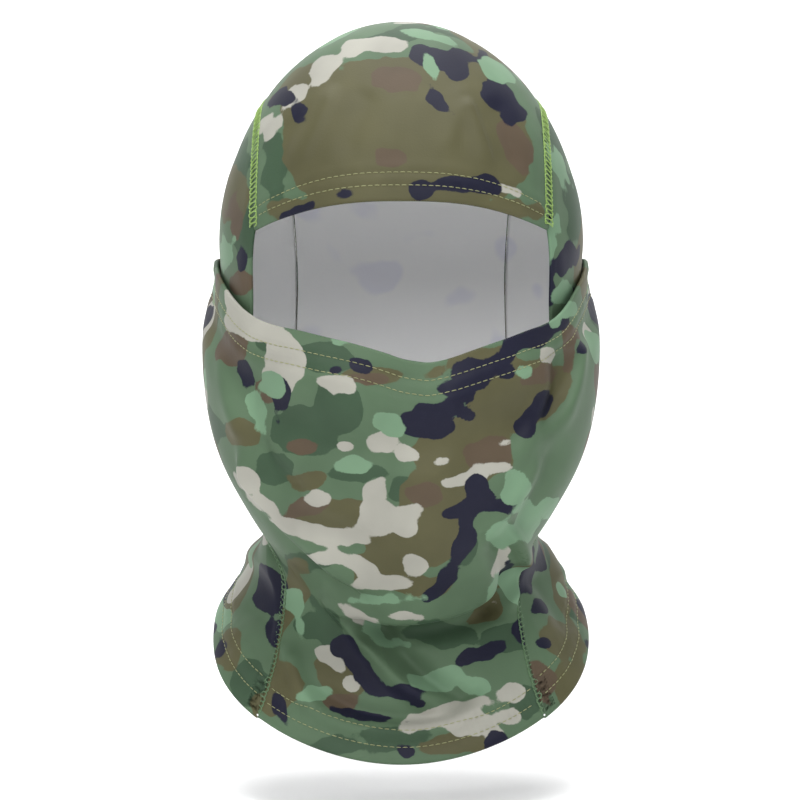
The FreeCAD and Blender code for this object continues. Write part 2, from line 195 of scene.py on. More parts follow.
def cad_surface(*nodes):
    """The CAD nodes' surfaces as one tree for casting rays, in millimetres."""
    points, faces = [], []
    for node in nodes:
        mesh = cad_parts[node].data
        start = len(points)
        points += [v.co * 1000 for v in mesh.vertices]
        faces += [[start + i for i in p.vertices] for p in mesh.polygons]
    return BVHTree.FromPolygons(points, faces)


def hit(surface, centre, direction):
    """Distance from a centre out to a surface's outer side, or nan.
    Three near rays step over a seam's gap."""
    direction = Vector(direction).normalized()
    side = direction.cross(Vector((0.31, 0.17, 0.93))).normalized()
    found = []
    for shift in (-1.2, 0.0, 1.2):
        start = Vector(centre) + direction * 400 + side * shift
        place = surface.ray_cast(start, -direction, 398)[0]
        if place is not None:
            found.append((place - Vector(centre)).dot(direction))
    return float(np.median(found)) if found else math.nan


def resampled(points, columns, rows):
    """A grid of points with this many columns, and rows at these lengths down its middle column."""
    middle = points[points.shape[0] // 2]
    lengths = np.concatenate([[0], np.cumsum(np.linalg.norm(np.diff(middle, axis=0), axis=1))])
    finer = spline(np.linspace(0, 1, points.shape[0]), points, np.linspace(0, 1, columns))
    return spline(lengths, finer.transpose(1, 0, 2), rows(lengths[-1])).transpose(1, 0, 2)


def normals(points):
    """Unit normals of a grid of points, outward at its middle, by the points' neighbours."""
    normal = np.cross(np.gradient(points, axis=0), np.gradient(points, axis=1))
    middle = (points.shape[0] // 2, points.shape[1] // 2)
    outward = points[middle] - (0, 0, min(points[middle][2], head_centre))
    normal *= math.copysign(1, normal[middle] @ outward)
    return normal / np.maximum(np.linalg.norm(normal, axis=2, keepdims=True), 1e-9)


def filled(grid):
    """The grid with points that no ray found put in line with those that were found on the same line."""
    for line in grid:
        found = np.flatnonzero(~np.isnan(line).any(axis=1))
        lost = np.flatnonzero(np.isnan(line).any(axis=1))
        if len(lost):
            line[lost] = spline(found, line[found], lost)
    return grid


def hemmed(points, depth, spacing=pitch):
    """The grid with its first rows turned in behind it: the inner ply, the fold, then the cloth itself."""
    normal = normals(points)
    count = int(depth / spacing)
    inner = (points - normal * 2 * fold_radius)[:, count:0:-1]
    edge, up = points[:, :1], normal[:, :1]
    along = points[:, 1:2] - edge
    along = along / np.linalg.norm(along, axis=2, keepdims=True)
    arc = [
        edge + fold_radius * (up * (math.cos(turn) - 1) - along * math.sin(turn))
        for turn in np.linspace(math.pi, 0, 7)[:-1]
    ]
    return np.concatenate([inner] + arc + [points], axis=1)


def seen(points):
    """Where each point lies as seen from the camera, in millimetres across and up at the hood's middle."""
    nearer = 1 - points[..., 1] / (viewing_distance * 1000)
    middle = view_centre[2] * 1000
    rise = points[..., 2] - middle + points[..., 1] * math.tan(viewing_height)
    return np.stack([points[..., 0] * nearer, rise * nearer + middle], axis=-1)


def creased(points, creases):
    """The grid pushed out or in along lines, and held at its seams. A crease is (where, width, height, lip),
    with where a list of (x, z) seen from the front. One side falls off lip times as fast as the other."""
    flat = seen(points)
    push = np.zeros(flat.shape[:2])
    for where, width, height, lip in creases:
        where = np.array(where, float)
        line = (
            spline(np.linspace(0, 1, len(where)), where, np.linspace(0, 1, 40))
            if len(where) > 2 else where
        )
        best = np.full(push.shape, 1e9)
        side = np.zeros(push.shape)
        place = np.zeros(push.shape)
        for i, (a, b) in enumerate(zip(line[:-1], line[1:])):
            run = b - a
            t = ((flat - a) @ run) / (run @ run)
            t = np.clip(t, 0, 1)
            off = flat - a - t[..., None] * run
            distance = np.hypot(off[..., 0], off[..., 1])
            nearer = distance < best
            best = np.where(nearer, distance, best)
            side = np.where(nearer, run[0] * off[..., 1] - run[1] * off[..., 0], side)
            place = np.where(nearer, (i + t) / (len(line) - 1), place)
        reach = np.where(side < 0, width / lip, width)
        taper = smooth(place / 0.25) * smooth((1 - place) / 0.25)
        push += height * taper * np.exp(-(best / reach) ** 2)
    column = np.arange(points.shape[0])
    held = smooth(np.minimum(column, column[::-1]) / 6)
    return points + normals(points) * (push * held[:, None])[..., None]


def sewn_rows(points, spots, first_row=0, spacing=pitch):
    """The grid drawn in along rows of stitches, with the small puckers that the thread's pull leaves."""
    down = (np.arange(points.shape[1]) - first_row) * spacing
    across = np.arange(points.shape[0]) * spacing
    push = np.zeros(points.shape[:2])
    for i, spot in enumerate(spots):
        pucker = 0.10 * np.sin(across * 0.9 + 2.1 * i) + 0.09 * np.sin(across * 0.37 + i)
        push += np.exp(-((down - spot) / 1.3) ** 2)[None, :] * (-0.30 + pucker)[:, None]
        push += 0.22 * np.exp(-((down - spot - 3.2) / 2.2) ** 2)[None, :] * (1 + 2.5 * pucker)[:, None]
    return points + normals(points) * push[..., None]


hood_surface = cad_surface("crown_panel", "left_side_panel", "right_side_panel")
crown_surface = cad_surface("crown_panel")
half_cloth = 0.5             # the CAD cloth's outer side to its middle


def edge_between(inside, outside, found):
    """The value at which found(value) changes, between one where it is true and one where it isn't."""
    for _ in range(9):
        middle = (inside + outside) / 2
        if found(middle):
            inside = middle
        else:
            outside = middle
    return inside


def ends_of(values, found):
    """The first and last value at which found(value) is true, drawn out to the true edges, or None."""
    hits = [i for i, value in enumerate(values) if found(value)]
    if not hits:
        return None
    first, last = hits[0], hits[-1]
    low_end = values[first] if first == 0 else edge_between(values[first], values[first - 1], found)
    high_end = (
        values[last] if last == len(values) - 1
        else edge_between(values[last], values[last + 1], found)
    )
    return low_end, high_end


def head_ray(lean):
    """A ray's height and direction at a lean: the angle round the head from the face, up to straight back
    at pi, and past that hundredths of a millimetre below the head's centre."""
    if lean <= math.pi:
        return head_centre, (0, -math.cos(lean), math.sin(lean))
    return head_centre - (lean - math.pi) * 100, (0, 1, 0)


def crown_edge(lean):
    """Half the crown panel's width at a lean."""
    height, direction = head_ray(lean)

    def found(x):
        start = Vector((x, 0, height)) + Vector(direction) * 300
        return crown_surface.ray_cast(start, -Vector(direction), 298)[0] is not None

    return ends_of(np.arange(10.0, 80.0, 6.0), found)[1] + seam_closing


hem_lean = math.pi + (-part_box("back_bottom_hem")[0][2] * 1000 + head_centre) / 100
edge_leans = np.linspace(0.45, hem_lean - 0.12, 40)
crown_edges = np.array([crown_edge(lean) for lean in edge_leans])


def crown_place(share, lean):
    """Crown panel's middle surface. share is -1 at the right seam and 1 at the left."""
    height, direction = head_ray(lean)
    x = share * float(np.interp(lean, edge_leans, crown_edges))
    reach = hit(hood_surface, (x, 0, height), direction) - half_cloth
    return (x, reach * direction[1], height + reach * direction[2])


brow_depth = 83.0
brow_corner_depth = 97.0
brow_corner = 68.5


def brow_lean(share):
    """Angle at which the brow's edge lies, from its height there."""
    x = abs(share) * brow_corner
    height = -(brow_depth + (brow_corner_depth - brow_depth) * (x / brow_corner) ** 2.6)
    low_lean, high_lean = 0.0, 1.2
    for _ in range(12):
        lean = (low_lean + high_lean) / 2
        reach = hit(hood_surface, (x, 0, head_centre), (0, -math.cos(lean), math.sin(lean)))
        rise = height - 1 if math.isnan(reach) else head_centre + (reach - half_cloth) * math.sin(lean)
        if rise < height:
            low_lean = lean
        else:
            high_lean = lean
    return high_lean


columns = np.linspace(-1, 1, 21)
rows = np.linspace(0, 1, 64)
crown_coarse = np.array([
    [crown_place(share, start + (hem_lean - start) * row) for row in rows]
    for share, start in ((share, brow_lean(share)) for share in columns)
])
crown = resampled(filled(crown_coarse), 111, lambda length: np.arange(0, length, pitch))

brow_creases = [
    ([(-52, -74), (-40, -50), (-30, -28)], 6.0, 2.0, 1.8),
    ([(-30, -68), (-20, -45), (-14, -30)], 6.0, -1.2, 1.0),
    ([(-8, -66), (-4, -48), (-3, -32)], 5.0, 0.5, 1.0),
    ([(20, -66), (26, -45), (28, -28)], 6.0, 0.9, 1.4),
    ([(44, -74), (36, -50), (30, -34)], 5.5, 2.4, 2.0),
    ([(56, -76), (50, -52), (42, -34)], 5.0, -1.6, 1.0),
    ([(-60, -84), (-56, -60), (-48, -40)], 5.0, -0.9, 1.2),
    ([(-36, -16), (0, -8), (34, -14)], 9.0, 0.9, 1.0),
]
crown = creased(crown, brow_creases)
crown = sewn_rows(crown, [share * brow_hem_depth for share in row_shares])
crown_hem = [share * bottom_hem_depth for share in row_shares]
crown = sewn_rows(crown[:, ::-1], crown_hem)[:, ::-1]

# The print: colours laid one over another, each a list of spots (x, z, half length, half width, tilt),
# seen from the front. Away from the front it is the same print, scattered evenly over the cloth.
print_colours = ("forest", "olive", "brown", "tan", "navy", "mint")
scatter_levels = {"forest": 0.3, "olive": 0.35, "brown": 0.9, "tan": 1.35, "navy": 1.25, "mint": 0.95}
scatter_size = {"forest": 36, "olive": 52, "brown": 34, "tan": 34, "navy": 32, "mint": 30}


def waves(points, length, seed, count=36):
    """A smooth random field over space with bumps about length millimetres apart, of unit size."""
    random = np.random.default_rng(seed)
    ways = random.normal(size=(count, 3)) * (1.0, 1.0, 1.5)
    ways *= (2 * math.pi / length * random.uniform(0.7, 1.3, count) / np.linalg.norm(ways, axis=1))[:, None]
    phases = random.uniform(0, 2 * math.pi, count)
    field = np.zeros(points.shape[:2])
    for way, phase in zip(ways, phases):
        field += np.cos(points @ way + phase)
    return field * math.sqrt(2 / count)


def printed(points, spots, first_back, last_back):
    """Each print colour as a field over the grid: how far inside its spots a point lies, in millimetres."""
    across, height = seen(points).transpose(2, 0, 1)
    ragged = 0.8 * waves(points, 17, 5) + 0.35 * waves(points, 8, 6)
    back = smooth((points[..., 1] - first_back) / (last_back - first_back))
    fields = {}
    for seed, colour in enumerate(print_colours):
        field = np.full(across.shape, -40.0)
        for x, z, long, wide, tilt in spots.get(colour, ()):
            turn = math.radians(tilt)
            u = (across - x) * math.cos(turn) + (height - z) * math.sin(turn)
            w = (height - z) * math.cos(turn) - (across - x) * math.sin(turn)
            spot = (1 - np.sqrt((u / long) ** 2 + (w / wide) ** 2)) * min(long, wide)
            field = np.maximum(field, spot) + 0.5 * np.exp(-np.abs(field - spot) / 1.5)
        scatter = (
            (waves(points, scatter_size[colour], 20 + seed) - scatter_levels[colour])
            * scatter_size[colour] / 5
        )
        fields[colour] = field * (1 - back) + scatter * back + ragged
    return fields


def cloth(name, points, fields, thickness=cloth_thickness):
    """A sheet of cloth on the grid, with its print's fields, printed side out and reverse side in."""
    across, down = points.shape[:2]
    mesh = bpy.data.meshes.new(name)
    index = np.arange(across * down).reshape(across, down)
    quads = np.stack([index[:-1, :-1], index[1:, :-1], index[1:, 1:], index[:-1, 1:]], axis=-1).reshape(-1, 4)
    middle = (across // 2, down - down // 3)
    along = points[middle[0] + 1, middle[1]] - points[middle]
    below = points[middle[0], middle[1] + 1] - points[middle]
    if np.cross(along, below) @ normals(points)[middle] < 0:
        quads = quads[:, ::-1]
    mesh.from_pydata((points.reshape(-1, 3) / 1000).tolist(), [], quads.tolist())
    for colour in print_colours:
        values = mesh.attributes.new(colour, "FLOAT", "POINT").data
        values.foreach_set("value", fields[colour].reshape(-1).astype(np.float32))
    rest = mesh.attributes.new("rest", "FLOAT_VECTOR", "POINT").data
    rest.foreach_set("vector", points.reshape(-1).astype(np.float32))
    mesh.shade_smooth()
    made = bpy.data.objects.new(name, mesh)
    bpy.context.collection.objects.link(made)
    mesh.materials.append(printed_knit)
    mesh.materials.append(knit_reverse)
    plies = made.modifiers.new("plies", "SOLIDIFY")
    plies.thickness = thickness / 1000
    plies.offset = 0.0
    plies.material_offset = 1
    bpy.context.view_layer.objects.active = made
    bpy.ops.object.select_all(action="DESELECT")
    made.select_set(True)
    bpy.ops.object.modifier_apply(modifier="plies")
    return made


def node(tree, kind, inputs=(), **settings):
    """Adds a shader node: its inputs as (socket, value or other node's output), its settings by name."""
    made = tree.nodes.new(kind)
    for key, value in settings.items():
        setattr(made, key, value)
    for socket, value in inputs:
        if isinstance(value, bpy.types.NodeSocket):
            tree.links.new(value, made.inputs[socket])
        else:
            made.inputs[socket].default_value = value
    return made


# Printed stretch knit: sublimation ink on a bright filament jersey. The ink is matt and its edges are
# crisp. The filament gives the soft satin glow, and the jersey's loops a fine ribbed grain.
ink = {
    "ground": "4D614B",
    "forest": "374A38",
    "olive": "4E4C35",
    "brown": "4F4437",
    "tan": "96958C",
    "navy": "181929",
    "mint": "678369",
}
loop_width = 0.9             # the jersey's wales are near 0.5 mm; drawn wider, to show at arm's length
printed_knit, tree, shader = material("printed_polyester_jersey")
rest = node(tree, "ShaderNodeAttribute", attribute_name="rest").outputs["Vector"]
fuzz = node(tree, "ShaderNodeTexNoise", [("Vector", rest), ("Scale", 0.55), ("Detail", 3.0)])
edge_wander = node(
    tree, "ShaderNodeMath", [(0, fuzz.outputs["Fac"]), (1, -0.5)], operation="ADD"
)
edge_wander = node(tree, "ShaderNodeMath", [(0, edge_wander.outputs[0]), (1, 0.9)], operation="MULTIPLY")
broad = node(tree, "ShaderNodeTexNoise", [("Vector", rest), ("Scale", 0.035), ("Detail", 2.0)])
colour = srgb(ink["ground"])
for name in print_colours:
    field = node(tree, "ShaderNodeAttribute", attribute_name=name).outputs["Fac"]
    wandering = node(tree, "ShaderNodeMath", [(0, field), (1, edge_wander.outputs[0])], operation="ADD")
    inside = node(
        tree, "ShaderNodeMapRange", [("Value", wandering.outputs[0]), ("From Min", -0.22), ("From Max", 0.22)]
    )
    layer = node(
        tree,
        "ShaderNodeMix",
        [("Factor", inside.outputs["Result"]), (6, colour), (7, srgb(ink[name]))],
        data_type="RGBA",
    )
    colour = layer.outputs[2]
tone = node(
    tree,
    "ShaderNodeMapRange",
    [("Value", broad.outputs["Fac"]), ("From Min", 0.3), ("From Max", 0.7), ("To Min", 0.9), ("To Max", 1.1)],
)
toned = node(
    tree,
    "ShaderNodeVectorMath",
    [(0, colour), ("Scale", tone.outputs["Result"])],
    operation="SCALE",
)
tree.links.new(toned.outputs["Vector"], shader.inputs["Base Color"])
shader.inputs["Roughness"].default_value = 0.55
shader.inputs["IOR"].default_value = 1.46
shader.inputs["Specular IOR Level"].default_value = 0.16
wales = node(tree, "ShaderNodeTexNoise", [("Vector", rest), ("Scale", 1 / loop_width), ("Detail", 1.0)])
grain = node(
    tree,
    "ShaderNodeBump",
    [("Strength", 0.25), ("Distance", 0.0002), ("Height", wales.outputs["Fac"])],
)
tree.links.new(grain.outputs["Normal"], shader.inputs["Normal"])

# The knit's reverse: the same filament left unprinted, light grey, where the darkest ink shows through
# as faint blue.
knit_reverse, tree, shader = material("unprinted_jersey_reverse")
rest = node(tree, "ShaderNodeAttribute", attribute_name="rest").outputs["Vector"]
navy = node(tree, "ShaderNodeAttribute", attribute_name="navy").outputs["Fac"]
soaked = node(
    tree,
    "ShaderNodeMapRange",
    [("Value", navy), ("From Min", -2.5), ("From Max", 2.5), ("To Min", 0.0), ("To Max", 0.38)],
    interpolation_type="SMOOTHSTEP",
)
struck = node(
    tree,
    "ShaderNodeMix",
    [("Factor", soaked.outputs["Result"]), (6, srgb("F4F4F4")), (7, srgb("D4D5EC"))],
    data_type="RGBA",
)
tree.links.new(struck.outputs[2], shader.inputs["Base Color"])
shader.inputs["Roughness"].default_value = 0.6
wales = node(tree, "ShaderNodeTexNoise", [("Vector", rest), ("Scale", 1 / loop_width), ("Detail", 1.0)])
grain = node(
    tree,
    "ShaderNodeBump",
    [("Strength", 0.2), ("Distance", 0.0002), ("Height", wales.outputs["Fac"])],
)
tree.links.new(grain.outputs["Normal"], shader.inputs["Normal"])

crown_spots = {
    "forest": [
        (-60, -70, 6, 17, 0), (-4, -7, 17, 3.5, 5), (-33, -46, 5, 11, 0), (70, -50, 4, 16, 10),
        (30, -5, 12, 3, 0),
    ],
    "olive": [
        (-4, -58, 52, 42, 0), (-38, -40, 20, 22, 40), (40, -60, 22, 26, 0), (0, -90, 66, 10, 0),
        (20, -28, 30, 14, 0),
    ],
    "brown": [(-5, -65, 8, 4.5, 0), (-64, -32, 4, 9, 30), (54, -58, 7, 14, 20), (-2, -27, 12, 7, 0)],
    "tan": [
        (-62, -49, 9.5, 4, 40), (-51, -35, 9, 4.2, 45), (-37, -22, 10, 6, 48), (-21, -11.5, 9, 3.8, 15),
        (-5, -11.5, 10, 3.4, 0), (53, -80.5, 7, 2.2, -12), (46, -14, 6, 1.6, -25), (60, -20, 6, 1.4, -40),
    ],
    "navy": [
        (-56.5, -36, 5.6, 4.8, 0), (-63.5, -37.5, 2.4, 2.8, 0), (-49, -43, 4.6, 5.2, 0), (9, -15, 6, 5, 0),
        (20, -17, 12, 5.5, -8), (27, -23, 5.5, 5, 0), (17.5, -36, 7.5, 2.6, -55), (41, -14, 4.6, 3, 60),
        (47, -35, 10, 7, -40), (53, -44, 6, 5.5, 0), (9.5, -80, 5.8, 4.6, 0), (25, -77, 11, 3.8, 4),
        (39, -78, 9.5, 4.8, -25), (-26, -82, 5, 2.6, 0), (-50, -90, 10, 1.8, 28),
    ],
    "mint": [(14.5, -22, 7, 2.6, -62), (47, -22, 9, 7, -35), (22, -7, 16, 4, -5), (-40, -10, 12, 3, 35)],
}
crown_hemmed = hemmed(hemmed(crown, brow_hem_depth)[:, ::-1], bottom_hem_depth)[:, ::-1]
crown_cloth = cloth("crown_cloth", crown_hemmed, printed(crown_hemmed, crown_spots, -40, -5))
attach(crown_cloth, "hood")
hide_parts("crown_panel", "brow_hem", "back_bottom_hem")

# ---- side panels ---------------------------------------------------------------------------------------
# The same knit, one panel on each side of the head, from the crown seam down to the hem. Each is cut in
# one piece round the side of the face opening, where its edge is turned in, and carries on below as the
# side of the neck and the bib.

opening_hem_depth = 6.0
left_side = cad_surface("left_side_panel")


def polar(turn, height):
    """Where a level ray at this turn from straight ahead starts, and which way it goes."""
    angle = math.radians(turn)
    return (0, 0, height), (math.sin(angle), -math.cos(angle), 0)


def reach_of(surface, turn, height):
    """Distance from the head's upright axis out to a surface, or nan."""
    centre, direction = polar(turn, height)
    place = surface.ray_cast(Vector(centre) + Vector(direction) * 300, -Vector(direction), 298)[0]
    return math.nan if place is None else math.hypot(place.x, place.y)


def heights_of(surface, turns):
    """For each turn, the heights of a surface's lower and upper edge. Past its ends they stay the same."""
    levels = np.arange(-350, -20, 3.0)
    edges = [
        ends_of(levels, lambda z, turn=turn: not math.isnan(reach_of(surface, turn, z)))
        for turn in turns
    ]
    found = [i for i, edge in enumerate(edges) if edge]
    known = np.array([edges[i] for i in found])
    every = np.arange(len(turns))
    return np.stack([np.interp(every, found, known[:, side]) for side in (0, 1)], axis=-1)


side_turns = np.linspace(52, 143, 14)
side_hem = heights_of(left_side, side_turns)[:, 0]
side_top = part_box("left_side_panel")[1][2] * 1000 - 0.8


def side_height(share, turn):
    """Height at a share of the way from the side panel's top down to its hem."""
    return side_top + (float(spline(side_turns, side_hem, turn)) - side_top) * share


def side_row(share):
    """One row of the side panel's points, from its front edge back to the crown seam."""
    turns = np.arange(30.0, 170.0, 1.0)
    ends = ends_of(turns, lambda turn: not math.isnan(reach_of(left_side, turn, side_height(share, turn))))
    row = []
    for turn in np.linspace(ends[0], ends[1] + math.degrees(seam_closing / 90), 25):
        height = side_height(share, turn)
        radius = reach_of(hood_surface, turn, height) - half_cloth
        row.append((radius * math.sin(math.radians(turn)), -radius * math.cos(math.radians(turn)), height))
    return row


side_coarse = filled(
    np.array([side_row(share) for share in np.linspace(0.004, 0.998, 80)])
).transpose(1, 0, 2)
side = resampled(side_coarse, 101, lambda length: np.arange(0, length, pitch))
side = side[:, ::-1]
side = sewn_rows(side, [share * bottom_hem_depth for share in row_shares])[:, ::-1]

side_creases = {
    "left": [
        ([(86, -60), (84, -90), (80, -112)], 6.0, 0.9, 1.3),
        ([(76, -66), (79, -90), (76, -120)], 5.0, -0.7, 1.0),
        ([(60, -262), (72, -275), (84, -296)], 7.0, -3.2, 1.4),
        ([(52, -285), (66, -298), (78, -318)], 6.0, 1.6, 1.4),
        ([(64, -246), (74, -258), (80, -268)], 5.0, 2.2, 1.2),
    ],
    "right": [
        ([(-84, -60), (-84, -90), (-80, -112)], 6.0, 0.9, 1.3),
        ([(-74, -66), (-79, -90), (-76, -120)], 5.0, -0.7, 1.0),
        ([(-76, -252), (-60, -262), (-48, -282)], 9.0, 4.5, 1.5),
        ([(-78, -276), (-64, -290), (-54, -306)], 7.0, -2.2, 1.3),
        ([(-84, -286), (-74, -304), (-66, -322)], 6.0, 1.6, 1.2),
    ],
}
side_spots = {
    "left": {
        "forest": [(74, -56, 3.6, 18, 12), (82, -80, 5, 11, 0), (84, -96, 4, 12, 0), (77, -268, 8, 10, 30)],
        "olive": [(78, -296, 13, 9, -30), (82, -318, 9, 12, 0), (87, -114, 5, 16, 0)],
        "brown": [(85, -68, 3, 9, 0), (67, -316, 7, 12, 10)],
        "tan": [],
        "navy": [
            (69, -94.5, 4.8, 4, -20), (79, -113, 4.6, 9.5, -25), (71.5, -124, 2.2, 12, 0),
            (60, -262, 6, 12, -15),
            (68, -298, 3.2, 3, 0), (83, -286, 3, 10, 15), (80, -130, 3, 4, 0), (66, -281, 8, 3, 30),
        ],
        "mint": [(71, -104, 4, 12, -12), (77, -128, 3.4, 8, -20), (75, -68, 3, 12, 20)],
    },
    "right": {
        "forest": [(-78, -62, 6, 14, 0), (-74, -100, 6, 12, 0), (-78, -258, 9, 6, 0), (-72, -318, 10, 12, 0)],
        "olive": [(-80, -84, 7, 14, 0), (-84, -300, 8, 12, 0), (-60, -330, 14, 8, 0)],
        "brown": [(-79, -92, 3.6, 8, 0), (-76, -124, 6, 6, 0)],
        "tan": [(-66, -246, 6, 3, 40)],
        "navy": [
            (-60, -274, 17, 10, -8), (-66, -268, 9, 10, 0), (-59, -292, 5, 7, 0), (-88, -293, 3, 12, 0),
            (-76, -114, 2.4, 5, 0),
        ],
        "mint": [(-84, -108, 3.6, 8, 0), (-67, -110, 3, 9, 0), (-82, -276, 4, 9, 20)],
    },
}
sides = {}
for name, mirror in (("left", 1), ("right", -1)):
    grid = creased(side * (mirror, 1, 1), side_creases[name])
    sides[name] = grid
    folded = hemmed(grid[:, ::-1], bottom_hem_depth)[:, ::-1]
    folded = hemmed(folded.transpose(1, 0, 2), opening_hem_depth).transpose(1, 0, 2)
    side_cloth = cloth(name + "_side_cloth", folded, printed(folded, side_spots[name], -26, 4))
    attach(side_cloth, "hood")
    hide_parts(name + "_side_panel", name + "_opening_hem", name + "_bottom_hem")

# ---- front cloth: mask flap, chin and bib in one ---------------------------------------------------------
# One piece of knit that hangs from the bar tacks at the ears, over nose and mouth, and runs on over the
# chin and throat to the bib. Its upper edge is a stitched hem, its sides are sewn to the side panels from
# the ears down, and it turns down with the flap and stays put at the bib.

mask_hem_depth = 16.0
front_pitch = 1.5
nose_shift = 6.0             # degrees by which the flap's dip has slid to the wearer's left
nose_rise = 4.0              # how much higher it has ridden there than the cut's edge
mask_surface = cad_surface("mask_panel")
front_surface = cad_surface("front_panel")

front_turns = np.linspace(-102, 102, 35)
flap_top = heights_of(mask_surface, front_turns)[:, 1]
lip_turns = np.linspace(-104, 104, 27)
lip = heights_of(front_surface, lip_turns)[:, 1]
bib_turns = np.linspace(-44, 44, 13)
bib_hem = heights_of(front_surface, bib_turns)[:, 0]
seam_heights = np.arange(-318.0, -132.0, 6.0)
seam_turns = np.array([
    ends_of(
        np.arange(20.0, 122.0, 2.0),
        lambda turn, z=z: not math.isnan(reach_of(front_surface, turn, z)),
    )[1]
    for z in seam_heights
])


def front_height(share, turn):
    """Height at a share of the way from the flap's top edge down to the bib's hem."""
    dip = math.exp(-(turn / 35) ** 2)
    top = float(np.interp(turn - nose_shift * dip, front_turns, flap_top)) + nose_rise * dip
    bottom = float(spline(bib_turns, bib_hem, max(-47, min(47, turn))))
    return top + (bottom - top) * share


def front_reach(turn, height):
    """Distance of the front cloth's middle from the axis: the flap's above the lip, the chin's below."""
    flap = reach_of(mask_surface, turn, height)
    chin = reach_of(front_surface, turn, height)
    below_lip = float(smooth((float(spline(lip_turns, lip, turn)) + 3 - height) / 26))
    if math.isnan(flap) or math.isnan(chin):
        radius = chin if math.isnan(flap) else flap
    else:
        radius = flap + (chin - flap) * below_lip
    return radius - half_cloth


def front_row(share):
    """One row of the front cloth's points, from the right side seam to the left."""
    turns, heights, reaches = [], [], []
    for across in np.linspace(-1, 1, 61):
        turn = across * 100
        for _ in range(5):
            height = front_height(share, turn)
            seam = min(104.0, float(spline(seam_heights, seam_turns, min(max(-320, height), -133))))
            turn = across * (seam - 0.4)
        turns.append(math.radians(turn))
        heights.append(height)
        reaches.append(front_reach(turn, height))
    reaches = np.array(reaches)
    found = np.flatnonzero(~np.isnan(reaches))
    return turns, heights, np.interp(np.arange(61), found, reaches[found])


turns, heights, reaches = np.array(
    [front_row(share) for share in np.linspace(0.004, 0.998, 72)]
).transpose(1, 2, 0)
for _ in range(5):           # ease the step at the lip, where the flap runs in behind the chin
    padded = np.pad(reaches, 1, mode="edge")
    down_mean = (padded[1:-1, :-2] + padded[1:-1, 2:]) / 2
    across_mean = (padded[:-2, 1:-1] + padded[2:, 1:-1]) / 2
    reaches = (2 * reaches + down_mean + across_mean) / 4
front_coarse = np.stack([reaches * np.sin(turns), -reaches * np.cos(turns), heights], axis=-1)
front = resampled(front_coarse, 225, lambda length: np.arange(0, length, front_pitch))

front_creases = [
    ([(-78, -198), (-68, -226), (-42, -254), (-8, -278)], 5.3, 6.9, 2.0),
    ([(-74, -212), (-60, -236), (-36, -262), (-10, -284)], 4.4, -4.5, 1.0),
    ([(-72, -196), (-60, -214), (-44, -228)], 4.4, -3.0, 1.2),
    ([(-86, -150), (-82, -180), (-72, -206)], 5.3, 3.0, 1.2),
    ([(-66, -160), (-72, -184), (-64, -210)], 5.3, -2.1, 1.2),
    ([(-44, -272), (-10, -283), (30, -277), (58, -252)], 5.7, 6.6, 2.4),
    ([(-40, -284), (-6, -294), (32, -288), (54, -270)], 6.2, -6.3, 1.2),
    ([(-40, -270), (-20, -296), (0, -320), (26, -332)], 5.3, 7.2, 1.8),
    ([(-26, -278), (0, -302), (20, -318), (40, -322)], 5.3, -5.4, 1.2),
    ([(-56, -296), (-50, -318), (-38, -336)], 5.3, 3.9, 1.6),
    ([(-58, -324), (-22, -340), (20, -340), (48, -324)], 4.4, 3.9, 1.6),
    ([(-50, -314), (-16, -330), (18, -330), (44, -314)], 4.0, -3.6, 1.0),
    ([(84, -146), (82, -172), (72, -198)], 4.8, 5.1, 1.8),
    ([(76, -150), (74, -176), (64, -200)], 4.4, -3.3, 1.0),
    ([(70, -160), (64, -190), (52, -218)], 6.2, 3.0, 1.4),
    ([(68, -204), (52, -230), (34, -248)], 5.3, 3.6, 1.4),
    ([(78, -194), (66, -226), (52, -250)], 5.3, -3.6, 1.1),
    ([(50, -236), (58, -260), (52, -284)], 4.4, 5.4, 1.8),
    ([(42, -244), (48, -266), (42, -290)], 4.4, -4.5, 1.0),
    ([(-30, -160), (-16, -190), (-8, -220)], 8.8, 1.8, 1.0),
    ([(20, -166), (26, -196), (18, -226)], 8.8, 1.8, 1.0),
    ([(-52, -224), (-24, -236), (0, -256)], 7.0, 2.1, 1.4),
]
front = creased(front, front_creases)
front = sewn_rows(front, [share * mask_hem_depth for share in row_shares], 0, front_pitch)
front = sewn_rows(
    front[:, ::-1], [share * bottom_hem_depth for share in row_shares], 0, front_pitch
)[:, ::-1]

